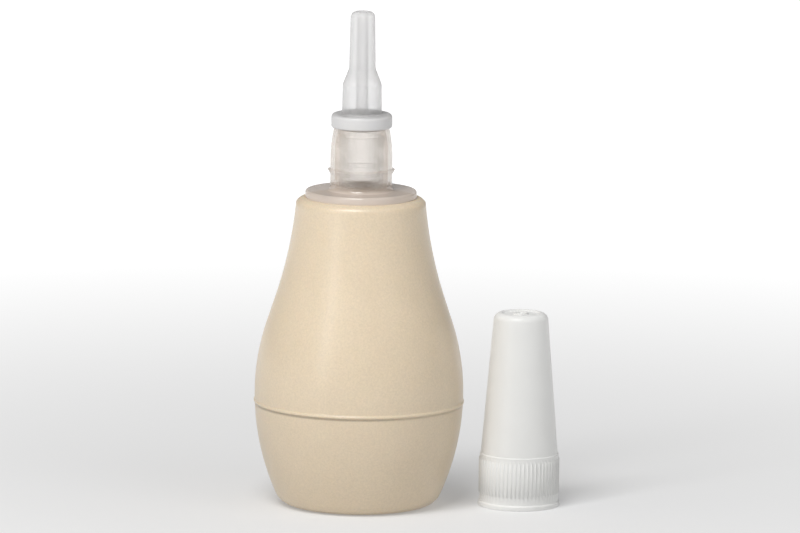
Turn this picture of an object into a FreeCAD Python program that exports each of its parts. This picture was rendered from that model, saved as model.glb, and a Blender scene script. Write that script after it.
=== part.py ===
"""Hand-squeezed baby nasal aspirator with its loose cap, in millimetres.

The origin is the centre of the bulb's flat base, +Z runs up the bulb's axis, and the cap stands at +X.
Every piece but the squeeze window is turned about its own axis, so most of the file is half-sections.
"""
import FreeCAD, Part
import math
import os

V = FreeCAD.Vector

# Bulb: a flat base, a belly, a straight shoulder and a neck that flares a little into the mouth
BELLY_RADIUS = 25.0
BELLY_Z = 27.0
LOWER_ARC = 59.6                    # radius of the side's arc below the belly
UPPER_ARC = 54.0                    # radius of the side's arc above the belly
SHOULDER_SLOPE = 0.33               # radius lost per millimetre of height on the shoulder
NECK_START_Z = 50.0
NECK_ARC = 102.8
NECK_END_SLOPE = 0.09
MOUTH_Z = 73.9
BASE_EDGE = 4.5                     # rounding of the base's edge
MOUTH_EDGE = 2.2                    # rounding of the mouth's outer edge
WALL = 2.2
FLOOR = 3.0
MOUTH_BORE = 9.45
MOUTH_BLOCK_Z = 66.5                # underside of the thick mouth rim, at its bore
MOUTH_BLEND_Z = 62.0                # where the rim's underside runs out into the wall
SEAM_Z = 25.0
SEAM_HEIGHT = 0.25
SEAM_WIDTH = 0.8

# Squeeze window: the zone of the bulb's wall that a thumb presses in
WINDOW_Z = 29.0
WINDOW_HALF_WIDTH = 15.0
WINDOW_HALF_HEIGHT = 20.0
WINDOW_GAP = 0.3

# Collector: plug, flange, barrel and snap bead
RUNNING_GAP = 0.05                  # radial gap of the fits that pull apart
PLUG_RADIUS = MOUTH_BORE - RUNNING_GAP
PLUG_BORE = 8.0
PLUG_BOTTOM_Z = 62.0
GROOVE_DEPTH = 0.4
GROOVE_WIDTH = 1.6
GROOVES_Z = (65.0, 69.0)
FLANGE_RADIUS = 13.34
FLANGE_TOP_Z = 76.0
BARREL_RADIUS = 7.43
BARREL_BORE = 6.35
BARREL_TAPER_Z = 86.8
BEAD_RADIUS = 8.05
BEAD_Z = 81.0
RIM_RADIUS = 6.62
RIM_BORE = 5.6
RIM_START_Z = 91.1
RIM_Z = 93.9

# Air tube inside the barrel
TUBE_RADIUS = 5.3
TUBE_WALL = 0.7
TUBE_TOP_Z = 89.0
TUBE_FOOT = 1.6

# Soft tip
COLLAR_RADIUS = 7.3
COLLAR_TOP_Z = 94.5
SKIRT_BOTTOM_Z = 90.6
SKIRT_BORE = 4.2
STEM_RADIUS = 4.76
STEM_TOP_RADIUS = 4.66
STEM_TOP_Z = 101.5
NOSE_RADIUS = 3.18
NOSE_START_Z = 105.3
NOSE_TOP_RADIUS = 2.92
TIP_TOP_Z = 119.0
TIP_BORE = 1.3

# Cap
CAP_X = 38.6
CAP_HEIGHT = 46.7
CAP_LIP_RADIUS = 9.8
CAP_BAND_RADIUS = 9.45
CAP_BAND_TOP = 12.6
CAP_CONE_RADIUS = 9.22
CAP_TOP_RADIUS = 6.42
CAP_BORE = 8.45
CAP_INNER_BAND = 8.06
CAP_INNER_TOP = 5.35
CAP_INNER_HEIGHT = 45.0
RIB_COUNT = 60
RIB_WIDTH = 0.45
RIB_HEIGHT = 0.22
RIB_Z = (3.2, 11.5)
LUG_GROUPS = (-150.0, -30.0, 90.0)  # directions of the snap-lug groups, in degrees from +X
LUG_PITCH = 6.0                     # degrees between the lugs of a group
LUGS_PER_GROUP = 4
LUG_WIDTH = 0.45
LUG_HEIGHT = 0.45
LUG_Z = (1.6, 2.8)


def at(point):
    """A half-section point (radius, height) as a vector in the XZ plane."""
    return V(point[0], 0, point[1])


def line(a, b):
    return Part.makeLine(at(a), at(b))


def arc(a, through, b):
    return Part.Arc(at(a), at(through), at(b)).toShape()


def turn(edges):
    """Solid of a closed half-section turned about the Z axis."""
    solid = Part.Face(Part.Wire(edges)).revolve(V(0, 0, 0), V(0, 0, 1), 360)
    if solid.Volume < 0:
        solid.reverse()
    return solid


def rounded(corners):
    """Closed half-section through corners (radius, height) or (radius, height, rounding)."""
    edges, ends = [], []
    for i, corner in enumerate(corners):
        here = V(corner[0], 0, corner[1])
        if len(corner) == 2:
            ends.append((here, here))
            continue
        before = at(corners[i - 1]) - here
        after = at(corners[(i + 1) % len(corners)]) - here
        before.normalize()
        after.normalize()
        half = before.getAngle(after) / 2
        reach = corner[2] / math.tan(half)
        middle = before + after
        middle.normalize()
        first, last = here + before * reach, here + after * reach
        crown = here + middle * (corner[2] / math.sin(half) - corner[2])
        edges.append(Part.Arc(first, crown, last).toShape())
        ends.append((first, last))
    for i, (first, last) in enumerate(ends):
        start = ends[i - 1][1]
        if start.distanceToPoint(first) > 1e-6:
            edges.append(Part.makeLine(start, first))
    return Part.__sortEdges__(edges)


def on_circle(centre, radius, slope_angle):
    """Point of a side arc where the side leans by slope_angle from upright."""
    return (centre[0] + radius * math.cos(slope_angle), centre[1] + radius * math.sin(slope_angle))


def lower_side(inset, z):
    """Point of the bulb's lower arc, moved in by inset, at height z."""
    radius = LOWER_ARC - inset
    return on_circle((BELLY_RADIUS - LOWER_ARC, BELLY_Z), radius, math.asin((z - BELLY_Z) / radius))


def lower_arc(inset, bottom, top):
    """Edge of the bulb's lower arc between two heights."""
    return arc(lower_side(inset, bottom), lower_side(inset, (bottom + top) / 2), lower_side(inset, top))


def upper_side(inset, top):
    """Edges of the bulb's side from the belly up to height top, moved in by inset, and their top end."""
    slope = math.atan(SHOULDER_SLOPE)
    centre = (BELLY_RADIUS - UPPER_ARC, BELLY_Z)
    shoulder = on_circle(centre, UPPER_ARC, slope)
    neck = (shoulder[0] - SHOULDER_SLOPE * (NECK_START_Z - shoulder[1]), NECK_START_Z)
    neck_centre = (neck[0] + NECK_ARC * math.cos(slope), neck[1] + NECK_ARC * math.sin(slope))

    high, hollow = UPPER_ARC - inset, -(NECK_ARC + inset)
    top_angle = math.asin((neck_centre[1] - top) / -hollow)
    shoulder = on_circle(centre, high, slope)
    neck = on_circle(neck_centre, hollow, slope)
    end = on_circle(neck_centre, hollow, top_angle)
    edges = [
        arc((BELLY_RADIUS - inset, BELLY_Z), on_circle(centre, high, slope / 2), shoulder),
        line(shoulder, neck),
        arc(neck, on_circle(neck_centre, hollow, (slope + top_angle) / 2), end),
    ]
    return edges, end


def bulb_wall():
    """The whole one-piece bulb: side with the raised mould seam, floor, and thick mouth rim."""
    drop = BELLY_Z - BASE_EDGE
    base_x = BELLY_RADIUS - LOWER_ARC + math.sqrt((LOWER_ARC - BASE_EDGE) ** 2 - drop ** 2)
    base_angle = -math.asin(drop / (LOWER_ARC - BASE_EDGE))
    foot_z = BELLY_Z + LOWER_ARC * math.sin(base_angle)
    lip_angle = math.atan(NECK_END_SLOPE)
    lip_centre_z = MOUTH_Z - MOUTH_EDGE
    seam_low, seam_high = SEAM_Z - SEAM_WIDTH / 2, SEAM_Z + SEAM_WIDTH / 2

    outer, neck = upper_side(0.0, lip_centre_z + MOUTH_EDGE * math.sin(lip_angle))
    inner, rim_edge = upper_side(WALL, MOUTH_BLEND_Z)
    lip_x = neck[0] - MOUTH_EDGE * math.cos(lip_angle)
    base_through = on_circle((base_x, BASE_EDGE), BASE_EDGE, (base_angle - math.pi / 2) / 2)
    lip_through = on_circle((lip_x, lip_centre_z), MOUTH_EDGE, (lip_angle + math.pi / 2) / 2)
    return turn(Part.__sortEdges__(outer + inner + [
        line((0, 0), (base_x, 0)),
        arc((base_x, 0), base_through, lower_side(0.0, foot_z)),
        lower_arc(0.0, foot_z, seam_low),
        arc(lower_side(0.0, seam_low), (BELLY_RADIUS + SEAM_HEIGHT, SEAM_Z), lower_side(0.0, seam_high)),
        lower_arc(0.0, seam_high, BELLY_Z),
        arc(neck, lip_through, (lip_x, MOUTH_Z)),
        line((lip_x, MOUTH_Z), (MOUTH_BORE, MOUTH_Z)),
        line((MOUTH_BORE, MOUTH_Z), (MOUTH_BORE, MOUTH_BLOCK_Z)),
        line((MOUTH_BORE, MOUTH_BLOCK_Z), rim_edge),
        lower_arc(WALL, FLOOR, BELLY_Z),
        line(lower_side(WALL, FLOOR), (0, FLOOR)),
        line((0, FLOOR), (0, 0)),
    ]))


def window(gap):
    """Upright ellipse run through the bulb's wall on its -X side, smaller than the window by gap."""
    face_x = -(BELLY_RADIUS + WALL)
    ellipse = Part.Ellipse(
        V(face_x, 0, WINDOW_Z + WINDOW_HALF_HEIGHT - gap),
        V(face_x, WINDOW_HALF_WIDTH - gap, WINDOW_Z),
        V(face_x, 0, WINDOW_Z),
    )
    return Part.Face(Part.Wire(ellipse.toShape())).extrude(V(BELLY_RADIUS, 0, 0))


def squeeze_bulb(wall):
    return wall.cut(window(0.0))


def press_wall(wall):
    return wall.common(window(WINDOW_GAP))


def collector():
    """Plug with two grip grooves, flange, barrel with a snap bead, and an open rim that narrows."""
    grooves = []
    for z in GROOVES_Z:
        grooves += [
            (PLUG_RADIUS, z),
            (PLUG_RADIUS - GROOVE_DEPTH, z + GROOVE_DEPTH),
            (PLUG_RADIUS - GROOVE_DEPTH, z + GROOVE_WIDTH),
            (PLUG_RADIUS, z + GROOVE_WIDTH + GROOVE_DEPTH),
        ]
    return turn(rounded([
        (PLUG_BORE, PLUG_BOTTOM_Z),
        (PLUG_RADIUS, PLUG_BOTTOM_Z, 0.6),
        *grooves,
        (PLUG_RADIUS, MOUTH_Z),
        (FLANGE_RADIUS, MOUTH_Z, 0.3),
        (FLANGE_RADIUS, FLANGE_TOP_Z, 0.6),
        (BARREL_RADIUS, FLANGE_TOP_Z, 0.9),
        (BARREL_RADIUS, BEAD_Z - 1.1),
        (BEAD_RADIUS, BEAD_Z, 0.12),
        (BARREL_RADIUS, BEAD_Z + 0.3),
        (BARREL_RADIUS, BARREL_TAPER_Z, 27.0),
        (RIM_RADIUS, RIM_START_Z),
        (RIM_RADIUS, RIM_Z, 0.2),
        (RIM_BORE, RIM_Z, 0.2),
        (RIM_BORE, RIM_START_Z),
        (BARREL_BORE, BARREL_TAPER_Z),
        (BARREL_BORE, MOUTH_Z + 1.0),
        (PLUG_BORE, MOUTH_Z),
    ]))


def inner_tube():
    """Air tube that stands in the barrel, on a foot pressed into the plug's bore."""
    foot_top = PLUG_BOTTOM_Z + TUBE_FOOT
    return turn(rounded([
        (TUBE_RADIUS - TUBE_WALL, PLUG_BOTTOM_Z),
        (PLUG_BORE, PLUG_BOTTOM_Z),
        (PLUG_BORE, foot_top),
        (TUBE_RADIUS, foot_top, 0.5),
        (TUBE_RADIUS, TUBE_TOP_Z, 0.2),
        (TUBE_RADIUS - TUBE_WALL, TUBE_TOP_Z, 0.2),
    ]))


def soft_tip():
    """Nozzle with a collar that cups the barrel's rim, a skirt that plugs it, and a bored nose."""
    return turn(rounded([
        (RIM_RADIUS + RUNNING_GAP, RIM_START_Z),
        (COLLAR_RADIUS, RIM_START_Z, 0.45),
        (COLLAR_RADIUS, COLLAR_TOP_Z, 1.0),
        (STEM_RADIUS, COLLAR_TOP_Z, 0.4),
        (STEM_TOP_RADIUS, STEM_TOP_Z, 2.0),
        (NOSE_RADIUS, NOSE_START_Z, 2.5),
        (NOSE_TOP_RADIUS, TIP_TOP_Z, 1.45),
        (TIP_BORE, TIP_TOP_Z, 0.15),
        (TIP_BORE + 0.2, COLLAR_TOP_Z + 0.8),
        (SKIRT_BORE, COLLAR_TOP_Z - 1.5),
        (SKIRT_BORE, SKIRT_BOTTOM_Z, 0.2),
        (RIM_BORE - RUNNING_GAP, SKIRT_BOTTOM_Z, 0.3),
        (RIM_BORE - RUNNING_GAP, RIM_Z),
        (RIM_RADIUS + RUNNING_GAP, RIM_Z),
    ]))


def spoke(inner, outer, width, z_range, angle):
    """Upright block from radius inner to radius outer, turned to angle degrees from +X."""
    block = Part.makeBox(outer - inner, width, z_range[1] - z_range[0], V(inner, -width / 2, z_range[0]))
    block.rotate(V(0, 0, 0), V(0, 0, 1), angle)
    return block


def protective_cap():
    """Cone over a ribbed band and a lip, dished top with a gate ring, and snap lugs inside the mouth."""
    shell = turn(rounded([
        (CAP_BORE, 0),
        (CAP_LIP_RADIUS, 0, 0.25),
        (CAP_LIP_RADIUS, 1.0, 0.3),
        (CAP_BAND_RADIUS, 1.3),
        (CAP_BAND_RADIUS, CAP_BAND_TOP),
        (CAP_CONE_RADIUS, CAP_BAND_TOP + 0.2),
        (CAP_TOP_RADIUS, CAP_HEIGHT, 1.8),
        (4.6, CAP_HEIGHT, 0.4),
        (4.2, CAP_HEIGHT - 0.4, 0.3),
        (1.8, CAP_HEIGHT - 0.4),
        (1.8, CAP_HEIGHT, 0.15),
        (1.2, CAP_HEIGHT, 0.15),
        (1.2, CAP_HEIGHT - 0.4),
        (0, CAP_HEIGHT - 0.4),
        (0, CAP_INNER_HEIGHT),
        (CAP_INNER_TOP, CAP_INNER_HEIGHT, 1.0),
        (CAP_INNER_BAND, CAP_BAND_TOP),
        (CAP_BORE, CAP_BAND_TOP - 4.0),
    ]))
    ribs = [
        spoke(CAP_BAND_RADIUS - 0.2, CAP_BAND_RADIUS + RIB_HEIGHT, RIB_WIDTH, RIB_Z, 360.0 * i / RIB_COUNT)
        for i in range(RIB_COUNT)
    ]
    middle = (LUGS_PER_GROUP - 1) / 2
    lugs = [
        spoke(CAP_BORE - LUG_HEIGHT, CAP_BORE + 0.2, LUG_WIDTH, LUG_Z, group + (i - middle) * LUG_PITCH)
        for group in LUG_GROUPS
        for i in range(LUGS_PER_GROUP)
    ]
    cap = shell.multiFuse(ribs + lugs)
    cap.translate(V(CAP_X, 0, 0))
    return cap


def save(name, shape):
    solids = shape.Solids
    if len(solids) != 1 or not shape.isValid():
        raise ValueError(f"{name}: {len(solids)} solids, valid {shape.isValid()}")
    solids[0].exportStep(f"parts/{name}.step")
    print(f"{name}: {shape.Volume / 1000:.2f} cm3")


os.makedirs("parts", exist_ok=True)
whole_wall = bulb_wall()
save("squeeze_bulb", squeeze_bulb(whole_wall))
save("press_wall", press_wall(whole_wall))
save("collector", collector())
save("inner_tube", inner_tube())
save("soft_tip", soft_tip())
save("protective_cap", protective_cap())
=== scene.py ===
import math

import bmesh
import bpy
from mathutils import Matrix, Vector
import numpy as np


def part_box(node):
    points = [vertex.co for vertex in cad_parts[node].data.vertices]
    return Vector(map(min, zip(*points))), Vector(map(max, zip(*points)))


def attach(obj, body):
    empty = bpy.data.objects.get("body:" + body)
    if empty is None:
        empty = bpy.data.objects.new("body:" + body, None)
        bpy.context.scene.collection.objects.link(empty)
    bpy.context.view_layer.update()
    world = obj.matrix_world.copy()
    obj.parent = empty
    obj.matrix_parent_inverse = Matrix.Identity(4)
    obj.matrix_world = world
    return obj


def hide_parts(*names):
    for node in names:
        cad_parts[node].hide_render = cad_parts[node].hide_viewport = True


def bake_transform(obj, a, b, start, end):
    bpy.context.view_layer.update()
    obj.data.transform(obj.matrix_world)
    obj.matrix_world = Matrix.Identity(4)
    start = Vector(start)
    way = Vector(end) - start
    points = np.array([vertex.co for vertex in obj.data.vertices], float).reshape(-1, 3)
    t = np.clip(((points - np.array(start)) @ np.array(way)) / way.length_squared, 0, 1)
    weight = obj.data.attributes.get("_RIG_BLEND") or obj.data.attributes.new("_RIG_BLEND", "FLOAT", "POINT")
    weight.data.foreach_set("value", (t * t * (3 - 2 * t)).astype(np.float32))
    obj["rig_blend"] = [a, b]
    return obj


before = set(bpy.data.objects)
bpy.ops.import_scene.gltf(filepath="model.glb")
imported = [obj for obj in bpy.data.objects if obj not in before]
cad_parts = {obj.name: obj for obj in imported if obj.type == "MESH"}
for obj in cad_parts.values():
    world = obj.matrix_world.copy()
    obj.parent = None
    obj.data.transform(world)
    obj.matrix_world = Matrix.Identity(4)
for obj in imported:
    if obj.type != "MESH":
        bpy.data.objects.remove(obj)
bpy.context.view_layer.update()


# ---- Squeeze bulb ----
# One slush-moulded piece of soft cream PVC. Its wall is even, its mouth is thick so that it grips the
# collector's plug, and the two halves of the mould leave a thin raised line round the belly.

MM = 0.001                          # half-sections are drawn in millimetres

bulb_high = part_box("squeeze_bulb")[1]
SEAM_HEIGHT = 0.25
SEAM_WIDTH = 0.8
SEAM_Z = 25.0
BELLY_RADIUS = bulb_high.y / MM - SEAM_HEIGHT
BELLY_Z = 27.0
LOWER_ARC = 59.6
UPPER_ARC = 54.0
SHOULDER_LEAN = math.atan(0.33)
NECK_START_Z = 50.0
NECK_ARC = 102.8
MOUTH_LEAN = math.atan(0.09)
MOUTH_Z = bulb_high.z / MM
MOUTH_BORE = 9.45
MOUTH_BLOCK_Z = 66.5
MOUTH_BLEND_Z = 62.0
BASE_EDGE = 4.5
MOUTH_EDGE = 2.2
MOUTH_INNER_EDGE = 0.3
WALL = 2.2
FLOOR = 3.0


def run(section, start, radius, z):
    """Draws a straight stretch of a half-section from vertex start, and returns its end."""
    end = section.verts.new((radius, 0, z))
    section.edges.new((start, end))
    return end


def swing(section, start, centre, turn, steps):
    """Draws a round stretch: start swings about centre by turn radians, anticlockwise if positive."""
    swept = bmesh.ops.spin(section, geom=[start], cent=(centre[0], 0, centre[1]), axis=(0, -1, 0),
                           angle=turn, steps=steps)
    return swept["geom_last"][0]


def spin_round(section, steps):
    """Turns a half-section about the Z axis into a closed form and points its faces outwards."""
    bmesh.ops.spin(section, geom=section.verts[:] + section.edges[:], cent=(0, 0, 0), axis=(0, 0, 1),
                   angle=2 * math.pi, steps=steps, use_merge=True)
    bmesh.ops.remove_doubles(section, verts=section.verts[:], dist=0.001)
    bmesh.ops.recalc_face_normals(section, faces=section.faces[:])
    return section


def make_piece(name, form, material, nodes):
    """Makes a form drawn in millimetres into a smooth-shaded piece that stands for CAD nodes."""
    bmesh.ops.scale(form, vec=(MM, MM, MM), verts=form.verts[:])
    mesh = bpy.data.meshes.new(name)
    form.to_mesh(mesh)
    form.free()
    mesh.shade_smooth()
    mesh.materials.append(material)
    piece = bpy.data.objects.new(name, mesh)
    bpy.context.scene.collection.objects.link(piece)
    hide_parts(*nodes)
    return piece


def draw_bulb():
    """Half-section of the bulb: base, side with the seam, mouth, then back down the inside."""
    low_centre = (BELLY_RADIUS - LOWER_ARC, BELLY_Z)
    high_centre = (BELLY_RADIUS - UPPER_ARC, BELLY_Z)
    shoulder = (high_centre[0] + UPPER_ARC * math.cos(SHOULDER_LEAN),
                high_centre[1] + UPPER_ARC * math.sin(SHOULDER_LEAN))
    neck_radius = shoulder[0] - math.tan(SHOULDER_LEAN) * (NECK_START_Z - shoulder[1])
    neck_centre = (neck_radius + NECK_ARC * math.cos(SHOULDER_LEAN),
                   NECK_START_Z + NECK_ARC * math.sin(SHOULDER_LEAN))

    drop = BELLY_Z - BASE_EDGE
    foot_lean = -math.asin(drop / (LOWER_ARC - BASE_EDGE))
    base_radius = low_centre[0] + math.sqrt((LOWER_ARC - BASE_EDGE) ** 2 - drop ** 2)
    seam_low = math.asin((SEAM_Z - SEAM_WIDTH / 2 - BELLY_Z) / LOWER_ARC)
    seam_high = math.asin((SEAM_Z + SEAM_WIDTH / 2 - BELLY_Z) / LOWER_ARC)
    bead = (SEAM_WIDTH ** 2 / 4 + SEAM_HEIGHT ** 2) / (2 * SEAM_HEIGHT)
    bead_turn = math.asin(SEAM_WIDTH / 2 / bead)
    skin = low_centre[0] + LOWER_ARC * math.cos((seam_low + seam_high) / 2)
    seam_lean = (seam_low + seam_high) / 2

    section = bmesh.new()
    end = section.verts.new((0, 0, 0))
    end = run(section, end, base_radius, 0)
    end = swing(section, end, (base_radius, BASE_EDGE), foot_lean + math.pi / 2, 10)
    end = swing(section, end, low_centre, seam_low - foot_lean, 34)
    bead_centre = (skin + SEAM_HEIGHT - bead, SEAM_Z)
    end = run(section, end, bead_centre[0] + bead * math.cos(bead_turn - seam_lean),
              SEAM_Z - bead * math.sin(bead_turn - seam_lean))
    end = swing(section, end, bead_centre, 2 * bead_turn - 2 * abs(seam_lean), 8)
    end = run(section, end, low_centre[0] + LOWER_ARC * math.cos(seam_high),
              BELLY_Z + LOWER_ARC * math.sin(seam_high))
    end = swing(section, end, low_centre, -seam_high, 4)
    end = swing(section, end, high_centre, SHOULDER_LEAN, 24)
    end = run(section, end, neck_radius, NECK_START_Z)
    end = swing(section, end, neck_centre, MOUTH_LEAN - SHOULDER_LEAN, 24)
    lip_centre = (end.co.x - MOUTH_EDGE * math.cos(MOUTH_LEAN), MOUTH_Z - MOUTH_EDGE)
    end = swing(section, end, lip_centre, math.pi / 2 - MOUTH_LEAN, 10)
    inner_lip = (MOUTH_BORE + MOUTH_INNER_EDGE, MOUTH_Z - MOUTH_INNER_EDGE)
    end = run(section, end, inner_lip[0], MOUTH_Z)
    end = swing(section, end, inner_lip, math.pi / 2, 4)
    end = run(section, end, MOUTH_BORE, MOUTH_BLOCK_Z)

    inner_neck = NECK_ARC + WALL
    blend_lean = math.asin((neck_centre[1] - MOUTH_BLEND_Z) / inner_neck)
    floor_lean = math.asin((FLOOR - BELLY_Z) / (LOWER_ARC - WALL))
    end = run(section, end, neck_centre[0] - inner_neck * math.cos(blend_lean), MOUTH_BLEND_Z)
    end = swing(section, end, neck_centre, SHOULDER_LEAN - blend_lean, 12)
    end = run(section, end, high_centre[0] + (UPPER_ARC - WALL) * math.cos(SHOULDER_LEAN),
              high_centre[1] + (UPPER_ARC - WALL) * math.sin(SHOULDER_LEAN))
    end = swing(section, end, high_centre, -SHOULDER_LEAN, 16)
    end = swing(section, end, low_centre, floor_lean, 20)
    run(section, end, 0, FLOOR)
    return section


def linear(hex_colour):
    """An sRGB hex colour as linear red, green, blue and full alpha."""
    shares = [int(hex_colour[i:i + 2], 16) / 255 for i in (1, 3, 5)]
    return [s / 12.92 if s <= 0.04045 else ((s + 0.055) / 1.055) ** 2.4 for s in shares] + [1.0]


def add_node(material, kind, inputs=None, **settings):
    """Adds a node with its settings. An input is a plain value or the output socket that feeds it."""
    tree = material.node_tree
    node = tree.nodes.new(kind)
    for name, value in settings.items():
        setattr(node, name, value)
    for name, value in (inputs or {}).items():
        if isinstance(value, bpy.types.NodeSocket):
            tree.links.new(value, node.inputs[name])
        else:
            node.inputs[name].default_value = value
    return node


def new_material(name):
    """A node material with nothing in it yet."""
    material = bpy.data.materials.new(name)
    material.use_nodes = True
    material.node_tree.nodes.clear()
    return material


def soft_cream_pvc():
    """Slush-moulded soft PVC, matt to satin, with the mould's fine grain and a faint cloudiness."""
    GRAIN_MM = 0.45                 # the real grain is near 0.2 mm, drawn coarser so that it shows
    CLOUD_MM = 9.0
    material = new_material("soft cream PVC")
    place = add_node(material, "ShaderNodeTexCoord").outputs["Object"]
    grain = add_node(material, "ShaderNodeTexNoise",
                     {"Vector": place, "Scale": 1 / (GRAIN_MM * MM), "Detail": 3.0, "Roughness": 0.6})
    cloud = add_node(material, "ShaderNodeTexNoise",
                     {"Vector": place, "Scale": 1 / (CLOUD_MM * MM), "Detail": 2.0})
    tone = add_node(material, "ShaderNodeMix", {"Factor": cloud.outputs["Fac"], "A": linear("#D7C6AC"),
                                                "B": linear("#DDCCB2")}, data_type="RGBA")
    speck = add_node(material, "ShaderNodeMapRange",
                     {"Value": grain.outputs["Fac"], "From Min": 0.3, "From Max": 0.7,
                      "To Min": 0.93, "To Max": 1.05})
    colour = add_node(material, "ShaderNodeMix", {"Factor": 1.0, "A": tone.outputs["Result"],
                                                  "B": speck.outputs["Result"]},
                      data_type="RGBA", blend_type="MULTIPLY")
    bump = add_node(material, "ShaderNodeBump", {"Height": grain.outputs["Fac"], "Strength": 0.25,
                                                 "Distance": 0.03 * MM})
    rough = add_node(material, "ShaderNodeMapRange",
                     {"Value": grain.outputs["Fac"], "To Min": 0.28, "To Max": 0.4})
    skin = add_node(material, "ShaderNodeBsdfPrincipled",
                    {"Base Color": colour.outputs["Result"], "Roughness": rough.outputs["Result"],
                     "Normal": bump.outputs["Normal"], "IOR": 1.5, "Specular IOR Level": 0.65,
                     "Subsurface Weight": 0.15,
                     "Subsurface Radius": (1.0, 0.6, 0.3), "Subsurface Scale": 1.5 * MM})
    add_node(material, "ShaderNodeOutputMaterial", {"Surface": skin.outputs["BSDF"]})
    return material


def dent(piece, centre, half_width, half_height, flat):
    """thumb: fully over the flat share of an upright oval, fading smoothly to nothing at the oval's edge."""
    follow = piece.data.attributes["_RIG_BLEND"].data
    for vert, share in zip(piece.data.vertices, follow):
        out = math.hypot((vert.co.y - centre.y) / half_width, (vert.co.z - centre.z) / half_height)
        fade = min(max((out - flat) / (1 - flat), 0), 1)
        share.value = 1 - fade * fade * (3 - 2 * fade) if vert.co.x < 0 else 0


bulb = make_piece("bulb_skin", spin_round(draw_bulb(), 144), soft_cream_pvc(),
                  ["squeeze_bulb", "press_wall"])
press_low, press_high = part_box("press_wall")
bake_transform(bulb, "bulb", "press_zone", start=(press_high.x, 0, SEAM_Z * MM), end=(press_low.x, 0, SEAM_Z * MM))
dent(bulb, (press_low + press_high) / 2, half_width=20 * MM, half_height=24 * MM, flat=0.25)


# ---- Collector ----
# A clear polypropylene moulding in one shot: a ribbed plug for the bulb's mouth, a flange that seats on
# the rim, and a barrel with a snap bead whose mouth narrows to take the tip.

SEAT_GAP = 0.03                     # touching faces are kept this far apart, so that light finds an air gap
RUNNING_GAP = 0.05                  # radial gap of the fits that pull apart

collector_low, collector_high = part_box("collector")
PLUG_RADIUS = MOUTH_BORE - RUNNING_GAP
PLUG_BORE = 8.0
PLUG_BOTTOM_Z = collector_low.z / MM
GROOVE_DEPTH = 0.4
GROOVE_WIDTH = 1.6
GROOVES_Z = (65.0, 69.0)
FLANGE_RADIUS = collector_high.y / MM
FLANGE_TOP_Z = 76.0
BARREL_RADIUS = 7.43
BARREL_BORE = 6.35
BARREL_TAPER_Z = 86.8
BEAD_RADIUS = 8.05
BEAD_Z = 81.0
BEAD_RAMP = 1.1                     # height of the bead's sloping underside
BEAD_LIP = 0.3                      # height of its steep upper side
RIM_RADIUS = 6.62
RIM_BORE = 5.6
RIM_START_Z = 91.1
RIM_Z = collector_high.z / MM
BORE_RING_DEPTH = 0.12              # fine rings that the turned core pin leaves in the foot of the barrel
BORE_RING_HALF = 0.4
BORE_RINGS_Z = (77.4, 79.1, 80.8, 82.5)


def draw_corners(corners):
    """Closed half-section through corners (radius, height), each rounded where it has a third number."""
    section = bmesh.new()
    verts = [section.verts.new((corner[0], 0, corner[1])) for corner in corners]
    for before, after in zip(verts, verts[1:] + verts[:1]):
        if before.co.x or after.co.x:
            section.edges.new((before, after))
    places = [vert.co.copy() for vert in verts]
    for i, corner in enumerate(corners):
        if len(corner) == 3:
            before = places[i - 1] - places[i]
            after = places[(i + 1) % len(corners)] - places[i]
            half = before.angle(after) / 2
            turn = math.pi - 2 * half
            bmesh.ops.bevel(section, geom=[verts[i]], offset=corner[2] / math.tan(half), offset_type="OFFSET",
                            affect="VERTICES", segments=max(4, round(math.degrees(turn) / 9)), profile=0.5,
                            material=-1)
    return section


def draw_collector():
    """Half-section of the collector, anticlockwise from the plug's foot."""
    grooves = []
    for z in GROOVES_Z:
        grooves += [
            (PLUG_RADIUS, z, 0.1),
            (PLUG_RADIUS - GROOVE_DEPTH, z + GROOVE_DEPTH, 0.1),
            (PLUG_RADIUS - GROOVE_DEPTH, z + GROOVE_WIDTH, 0.1),
            (PLUG_RADIUS, z + GROOVE_WIDTH + GROOVE_DEPTH, 0.1),
        ]
    rings = []
    for z in reversed(BORE_RINGS_Z):
        rings += [
            (BARREL_BORE, z + BORE_RING_HALF),
            (BARREL_BORE + BORE_RING_DEPTH, z, 0.1),
            (BARREL_BORE, z - BORE_RING_HALF),
        ]
    return draw_corners([
        (PLUG_BORE, PLUG_BOTTOM_Z, 0.1),
        (PLUG_RADIUS, PLUG_BOTTOM_Z, 0.6),
        *grooves,
        (PLUG_RADIUS, MOUTH_Z + SEAT_GAP, 0.15),
        (FLANGE_RADIUS, MOUTH_Z + SEAT_GAP, 0.3),
        (FLANGE_RADIUS, FLANGE_TOP_Z, 0.6),
        (BARREL_RADIUS, FLANGE_TOP_Z, 0.9),
        (BARREL_RADIUS, BEAD_Z - BEAD_RAMP, 0.3),
        (BEAD_RADIUS, BEAD_Z, 0.12),
        (BARREL_RADIUS, BEAD_Z + BEAD_LIP, 0.08),
        (BARREL_RADIUS, BARREL_TAPER_Z, 27.0),
        (RIM_RADIUS, RIM_START_Z, 0.3),
        (RIM_RADIUS, RIM_Z, 0.2),
        (RIM_BORE, RIM_Z, 0.2),
        (RIM_BORE, RIM_START_Z, 0.3),
        (BARREL_BORE, BARREL_TAPER_Z, 0.5),
        *rings,
        (BARREL_BORE, MOUTH_Z + 1.0, 0.3),
        (PLUG_BORE, MOUTH_Z, 0.3),
    ])


def milkiness(material, square_on, grazing):
    """How solid a milky wall looks: least square on, and most at a graze, where sight crosses more of it."""
    facing = add_node(material, "ShaderNodeLayerWeight", {"Blend": 0.5})
    solid = add_node(material, "ShaderNodeMapRange", {"Value": facing.outputs["Facing"],
                                                      "To Min": square_on, "To Max": grazing})
    return solid.outputs["Result"]


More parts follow.
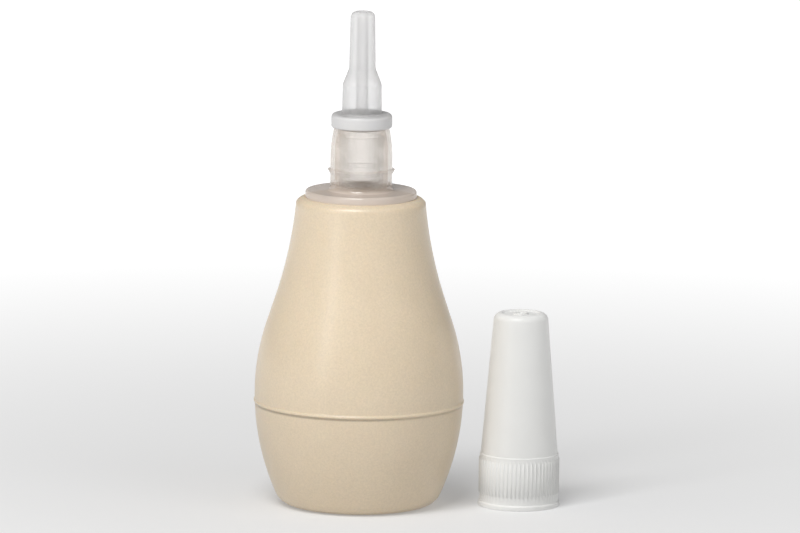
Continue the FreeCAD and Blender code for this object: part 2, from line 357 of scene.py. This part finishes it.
def by_height(material, z, over, below, above):
    """A value that changes where a thick wall gives way to a thin one: from height z up, over a rise."""
    place = add_node(material, "ShaderNodeTexCoord").outputs["Object"]
    height = add_node(material, "ShaderNodeSeparateXYZ", {"Vector": place}).outputs["Z"]
    value = add_node(material, "ShaderNodeMapRange", {"Value": height, "From Min": z * MM,
                                                      "From Max": (z + over) * MM, "To Min": below,
                                                      "To Max": above})
    return value.outputs["Result"]


def clear_polypropylene(name, thick_colour, thin_colour, thin_from, over, thick, clearest, milkiest):
    """Clear-grade polypropylene: glossy, with the fine rings that the flow leaves. It is milky where the
    wall is thick, below thin_from, and light passes and bends only where the wall is thin."""
    RING_MM = 0.8
    material = new_material(name)
    place = add_node(material, "ShaderNodeTexCoord").outputs["Object"]
    stretch = add_node(material, "ShaderNodeMapping", {"Vector": place, "Scale": (0.1, 0.1, 1.0)})
    ripple = add_node(material, "ShaderNodeTexNoise", {"Vector": stretch.outputs["Vector"],
                                                       "Scale": 1 / (RING_MM * MM), "Detail": 1.0})
    bump = add_node(material, "ShaderNodeBump", {"Height": ripple.outputs["Fac"], "Strength": 0.3,
                                                 "Distance": 0.05 * MM})
    rough = add_node(material, "ShaderNodeMapRange",
                     {"Value": ripple.outputs["Fac"], "To Min": 0.08, "To Max": 0.18})
    tint = add_node(material, "ShaderNodeMix", {"Factor": by_height(material, thin_from, over, 0.0, 1.0),
                                                "A": linear(thick_colour), "B": linear(thin_colour)},
                    data_type="RGBA")
    wall = add_node(material, "ShaderNodeBsdfPrincipled",
                    {"Base Color": tint.outputs["Result"], "Roughness": rough.outputs["Result"],
                     "Normal": bump.outputs["Normal"], "IOR": 1.49, "Specular IOR Level": 1.0,
                     "Transmission Weight": by_height(material, thin_from, over, 0.0, 0.4),
                     "Alpha": milkiness(material, by_height(material, thin_from, over, thick, clearest),
                                        milkiest)})
    add_node(material, "ShaderNodeOutputMaterial", {"Surface": wall.outputs["BSDF"]})
    return material


collector = make_piece("collector_shell", spin_round(draw_collector(), 128),
                       clear_polypropylene("clear polypropylene", thick_colour="#DED0C4",
                                           thin_colour="#E6D5C4", thin_from=FLANGE_TOP_Z, over=1.8,
                                           thick=0.72, clearest=0.2, milkiest=0.7),
                       ["collector"])
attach(collector, "collector")


# ---- Inner tube ----
# A thin air tube of the same clear polypropylene, turned in its foot and pressed into the plug from
# below. It stands in the barrel and keeps the drawn air off the walls.

tube_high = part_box("inner_tube")[1]
TUBE_RADIUS = 5.3
TUBE_WALL = 0.7
TUBE_FOOT = 1.6
TUBE_TOP_Z = tube_high.z / MM
FOOT_TOP_Z = PLUG_BOTTOM_Z + TUBE_FOOT

tube_section = draw_corners([
    (TUBE_RADIUS - TUBE_WALL, PLUG_BOTTOM_Z, 0.15),
    (PLUG_BORE - SEAT_GAP, PLUG_BOTTOM_Z, 0.15),
    (PLUG_BORE - SEAT_GAP, FOOT_TOP_Z, 0.15),
    (TUBE_RADIUS, FOOT_TOP_Z, 0.5),
    (TUBE_RADIUS, TUBE_TOP_Z, 0.2),
    (TUBE_RADIUS - TUBE_WALL, TUBE_TOP_Z, 0.2),
])
tube = make_piece("air_tube", spin_round(tube_section, 96),
                  clear_polypropylene("clear polypropylene, blue-white", thick_colour="#C6D6DE",
                                      thin_colour="#D2E2EA", thin_from=FOOT_TOP_Z, over=0.5,
                                      thick=0.4, clearest=0.02, milkiest=0.55),
                  ["inner_tube"])
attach(tube, "collector")


# ---- Soft tip ----
# A milky silicone nozzle, compression moulded. Its collar cups the barrel's rim, its skirt plugs the
# bore, and the stem narrows to a round-ended nose with a fine hole.

tip_low, tip_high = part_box("soft_tip")
COLLAR_RADIUS = tip_high.y / MM
COLLAR_TOP_Z = 94.5
SKIRT_BOTTOM_Z = tip_low.z / MM
SKIRT_BORE = 4.2
STEM_RADIUS = 4.76
STEM_TOP_RADIUS = 4.66
STEM_TOP_Z = 101.5
NOSE_RADIUS = 3.18
NOSE_START_Z = 105.3
NOSE_TOP_RADIUS = 2.92
TIP_TOP_Z = tip_high.z / MM
TIP_BORE = 1.3

tip_section = draw_corners([
    (RIM_RADIUS + RUNNING_GAP, RIM_START_Z, 0.15),
    (COLLAR_RADIUS, RIM_START_Z, 0.45),
    (COLLAR_RADIUS, COLLAR_TOP_Z, 1.0),
    (STEM_RADIUS, COLLAR_TOP_Z, 0.4),
    (STEM_TOP_RADIUS, STEM_TOP_Z, 2.0),
    (NOSE_RADIUS, NOSE_START_Z, 2.5),
    (NOSE_TOP_RADIUS, TIP_TOP_Z, 1.45),
    (TIP_BORE, TIP_TOP_Z, 0.15),
    (TIP_BORE + 0.2, COLLAR_TOP_Z + 0.8, 1.0),
    (SKIRT_BORE, COLLAR_TOP_Z - 1.5, 0.8),
    (SKIRT_BORE, SKIRT_BOTTOM_Z, 0.2),
    (RIM_BORE - RUNNING_GAP, SKIRT_BOTTOM_Z, 0.3),
    (RIM_BORE - RUNNING_GAP, RIM_Z + SEAT_GAP, 0.15),
    (RIM_RADIUS + RUNNING_GAP, RIM_Z + SEAT_GAP, 0.15),
])


def milky_silicone():
    """Translucent silicone rubber with a smooth, faintly waxy skin: cloudy in the thick collar, and clearer
    in the thin stem and nose."""
    CLOUD_MM = 4.0
    thin_from = COLLAR_TOP_Z - 0.6
    material = new_material("milky silicone")
    place = add_node(material, "ShaderNodeTexCoord").outputs["Object"]
    cloud = add_node(material, "ShaderNodeTexNoise", {"Vector": place, "Scale": 1 / (CLOUD_MM * MM),
                                                      "Detail": 2.0})
    tone = add_node(material, "ShaderNodeMix", {"Factor": cloud.outputs["Fac"], "A": linear("#D1D1D3"),
                                                "B": linear("#DBD9D6")}, data_type="RGBA")
    rough = add_node(material, "ShaderNodeMapRange",
                     {"Value": cloud.outputs["Fac"], "To Min": 0.28, "To Max": 0.4})
    skin = add_node(material, "ShaderNodeBsdfPrincipled",
                    {"Base Color": tone.outputs["Result"], "Roughness": rough.outputs["Result"],
                     "IOR": 1.41,
                     "Transmission Weight": by_height(material, thin_from, 0.5, 0.0, 0.4),
                     "Alpha": milkiness(material, by_height(material, thin_from, 0.5, 0.9, 0.33), 0.9)})
    add_node(material, "ShaderNodeOutputMaterial", {"Surface": skin.outputs["BSDF"]})
    return material


tip = make_piece("silicone_tip", spin_round(tip_section, 96), milky_silicone(), ["soft_tip"])
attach(tip, "tip")


# ---- Protective cap ----
# A cone of natural, frosted polypropylene that snaps over the tip. The band above its lip has sixty fine
# grip ribs, the mouth has three groups of snap lugs, and the dished top keeps the ring of its gate.

cap_low, cap_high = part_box("protective_cap")
CAP_CENTRE = Vector(((cap_low.x + cap_high.x) / 2, 0, 0)) / MM
CAP_HEIGHT = cap_high.z / MM
CAP_LIP_RADIUS = 9.8
CAP_LIP_TOP = 1.0
CAP_BAND_RADIUS = 9.45
CAP_BAND_TOP = 12.6
CAP_CONE_RADIUS = 9.22
CAP_TOP_RADIUS = 6.42
CAP_DISH = 0.4                      # depth of the dished top
DISH_RIM_RADIUS = 4.6
DISH_FLOOR_RADIUS = 4.2
GATE_RING_OUTER = 1.8
GATE_RING_INNER = 1.2
CAP_BORE = 8.45
CAP_INNER_BAND = 8.06
CAP_INNER_TOP = 5.35
CAP_INNER_HEIGHT = 45.0
RIB_COUNT = 60
CAP_STEPS = 2 * RIB_COUNT           # columns round the cap; every other one carries a rib
RIB_HEIGHT = 0.22
RIB_DRAFT = 0.07                    # how far each side of a rib leans in
RIB_Z = (3.2, 11.5)
LUG_HEIGHT = 0.45
LUG_DRAFT = 0.05
LUG_Z = (1.6, 2.8)
LUG_GROUPS = (-150, -30, 90)        # directions of the lug groups, in degrees
LUG_TURNS = (-9, -3, 3, 9)          # directions of a group's lugs from its middle, in degrees

cap_section = draw_corners([
    (CAP_BORE, 0, 0.2),
    (CAP_LIP_RADIUS, 0, 0.25),
    (CAP_LIP_RADIUS, CAP_LIP_TOP, 0.3),
    (CAP_BAND_RADIUS, CAP_LIP_TOP + 0.3, 0.15),
    (CAP_BAND_RADIUS, RIB_Z[0]),
    (CAP_BAND_RADIUS, RIB_Z[1]),
    (CAP_BAND_RADIUS, CAP_BAND_TOP, 0.1),
    (CAP_CONE_RADIUS, CAP_BAND_TOP + 0.2, 0.1),
    (CAP_TOP_RADIUS, CAP_HEIGHT, 1.8),
    (DISH_RIM_RADIUS, CAP_HEIGHT, 0.4),
    (DISH_FLOOR_RADIUS, CAP_HEIGHT - CAP_DISH, 0.3),
    (GATE_RING_OUTER, CAP_HEIGHT - CAP_DISH, 0.1),
    (GATE_RING_OUTER, CAP_HEIGHT, 0.15),
    (GATE_RING_INNER, CAP_HEIGHT, 0.15),
    (GATE_RING_INNER, CAP_HEIGHT - CAP_DISH, 0.1),
    (0, CAP_HEIGHT - CAP_DISH),
    (0, CAP_INNER_HEIGHT),
    (CAP_INNER_TOP, CAP_INNER_HEIGHT, 1.0),
    (CAP_INNER_BAND, CAP_BAND_TOP, 0.5),
    (CAP_BORE, CAP_BAND_TOP - 4.0, 0.5),
    (CAP_BORE, LUG_Z[1]),
    (CAP_BORE, LUG_Z[0]),
])
cap_form = spin_round(cap_section, CAP_STEPS)
column = 2 * math.pi / CAP_STEPS
half_column = Matrix.Rotation(column / 2, 3, "Z")
bmesh.ops.rotate(cap_form, cent=(0, 0, 0), matrix=half_column, verts=cap_form.verts[:])


def cells(form, radius, z_range, directions):
    """The faces of a turned form at a radius, between two heights, within a degree of the directions."""
    middle = (z_range[0] + z_range[1]) / 2
    found = []
    for face in form.faces:
        centre = face.calc_center_median()
        if abs(centre.z - middle) < 0.01 and abs(centre.xy.length - radius) < 0.1:
            here = math.degrees(math.atan2(centre.y, centre.x))
            if any(abs((here - direction + 180) % 360 - 180) < 1 for direction in directions):
                found.append(face)
    return found


rib_cells = cells(cap_form, CAP_BAND_RADIUS, RIB_Z, range(0, 360, 360 // RIB_COUNT))
bmesh.ops.inset_individual(cap_form, faces=rib_cells, thickness=RIB_DRAFT, depth=RIB_HEIGHT,
                           use_even_offset=True)
lug_cells = cells(cap_form, CAP_BORE, LUG_Z, [group + turn for group in LUG_GROUPS for turn in LUG_TURNS])
bmesh.ops.inset_individual(cap_form, faces=lug_cells, thickness=LUG_DRAFT, depth=LUG_HEIGHT,
                           use_even_offset=True)
bmesh.ops.translate(cap_form, vec=CAP_CENTRE, verts=cap_form.verts[:])


def frosted_polypropylene():
    """Natural polypropylene from a fine-blasted mould: frosted white, and only a little see-through."""
    FROST_MM = 0.5                  # the blasting's grit is near 0.1 mm, drawn coarser so that it shows
    CLOUD_MM = 7.0
    material = new_material("frosted polypropylene")
    place = add_node(material, "ShaderNodeTexCoord").outputs["Object"]
    frost = add_node(material, "ShaderNodeTexNoise", {"Vector": place, "Scale": 1 / (FROST_MM * MM),
                                                      "Detail": 2.0})
    cloud = add_node(material, "ShaderNodeTexNoise", {"Vector": place, "Scale": 1 / (CLOUD_MM * MM),
                                                      "Detail": 2.0})
    tone = add_node(material, "ShaderNodeMix", {"Factor": cloud.outputs["Fac"], "A": linear("#F1F1EF"),
                                                "B": linear("#F7F7F5")}, data_type="RGBA")
    bump = add_node(material, "ShaderNodeBump", {"Height": frost.outputs["Fac"], "Strength": 0.25,
                                                 "Distance": 0.02 * MM})
    rough = add_node(material, "ShaderNodeMapRange",
                     {"Value": frost.outputs["Fac"], "To Min": 0.26, "To Max": 0.4})
    wall = add_node(material, "ShaderNodeBsdfPrincipled",
                    {"Base Color": tone.outputs["Result"], "Roughness": rough.outputs["Result"],
                     "Normal": bump.outputs["Normal"], "IOR": 1.49, "Alpha": milkiness(material, 0.7, 0.93)})
    add_node(material, "ShaderNodeOutputMaterial", {"Surface": wall.outputs["BSDF"]})
    return material


cap = make_piece("cap_shell", cap_form, frosted_polypropylene(), ["protective_cap"])
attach(cap, "cap")


# ---- Studio ----
# A sheet of pale paper with a painted glow that is weak near the object and strong further out, three softboxes
# and an even, dim room. The key light comes from high on the left, and a tall strip beside it draws the long soft
# highlight down the bulb.

FLOOR_HALF_SIZE = 4.0


def painted_glow_paper():
    """Pale paper with a painted glow: it emits light of its own in place of paper lit from behind, weakly near the
    object and strongly further out, so that it stays white well away from the object.
    """
    material = new_material("paper with painted glow")
    place = add_node(material, "ShaderNodeTexCoord").outputs["Object"]
    away = add_node(material, "ShaderNodeVectorMath", {"Vector": place}, operation="LENGTH")
    # painted light: the paper's own emission, dimmer near the object and brighter further out
    glow = add_node(material, "ShaderNodeMapRange",
                    {"Value": away.outputs["Value"], "From Min": 0.0, "From Max": 0.6,
                     "To Min": 0.24, "To Max": 0.9}, interpolation_type="SMOOTHSTEP")
    sheet = add_node(material, "ShaderNodeBsdfPrincipled",
                     {"Base Color": linear("#C2C2C2"), "Roughness": 0.9, "Emission Color": (1, 1, 1, 1),
                      "Emission Strength": glow.outputs["Result"]})
    add_node(material, "ShaderNodeOutputMaterial", {"Surface": sheet.outputs["BSDF"]})
    return material


floor_form = bmesh.new()
bmesh.ops.create_grid(floor_form, x_segments=1, y_segments=1, size=FLOOR_HALF_SIZE)
floor_mesh = bpy.data.meshes.new("paper_floor")
floor_form.to_mesh(floor_mesh)
floor_form.free()
floor_mesh.materials.append(painted_glow_paper())
floor = bpy.data.objects.new("paper_floor", floor_mesh)
bpy.context.scene.collection.objects.link(floor)


def add_softbox(name, place, target, width, height, watts):
    """Hangs a rectangular area light that faces a target and stays out of the camera's sight."""
    light = bpy.data.lights.new(name, "AREA")
    light.shape = "RECTANGLE"
    light.size = width
    light.size_y = height
    light.energy = watts
    lamp = bpy.data.objects.new(name, light)
    lamp.location = place
    lamp.rotation_euler = (Vector(target) - Vector(place)).to_track_quat("-Z", "Y").to_euler()
    lamp.visible_camera = False
    bpy.context.scene.collection.objects.link(lamp)


lit_point = Vector((0.012, 0, 0.055))
add_softbox("tall softbox", (-0.50, -0.57, 0.42), lit_point, 0.14, 0.7, 1.2)
add_softbox("high softbox", (-0.22, -0.52, 0.95), lit_point, 0.5, 0.5, 8.3)
add_softbox("fill softbox", (0.48, -0.42, 0.60), lit_point, 0.4, 0.4, 0.6)

world = bpy.data.worlds.new("studio")
world.use_nodes = True
world.node_tree.nodes["Background"].inputs["Color"].default_value = (1, 1, 1, 1)
world.node_tree.nodes["Background"].inputs["Strength"].default_value = 0.24
bpy.context.scene.world = world
bpy.context.scene.view_settings.view_transform = "Standard"

DISTANCE = 2.5
VIEW_WIDTH = 0.1913                 # width of what the camera sees at the object
SENSOR_WIDTH = 36
ELEVATION = math.radians(9.3)
ROLL = math.radians(0.65)
aim = Vector((0.0095, 0, 0.0575))
camera_data = bpy.data.cameras.new("camera")
camera_data.sensor_width = SENSOR_WIDTH
camera_data.lens = SENSOR_WIDTH * DISTANCE / VIEW_WIDTH
camera_data.clip_end = 20
camera = bpy.data.objects.new("camera", camera_data)
camera.location = aim + DISTANCE * Vector((0, -math.cos(ELEVATION), math.sin(ELEVATION)))
camera.rotation_euler = ((aim - camera.location).to_track_quat("-Z", "Y").to_matrix()
                         @ Matrix.Rotation(ROLL, 3, "Z")).to_euler()
bpy.context.scene.collection.objects.link(camera)
bpy.context.scene.camera = camera
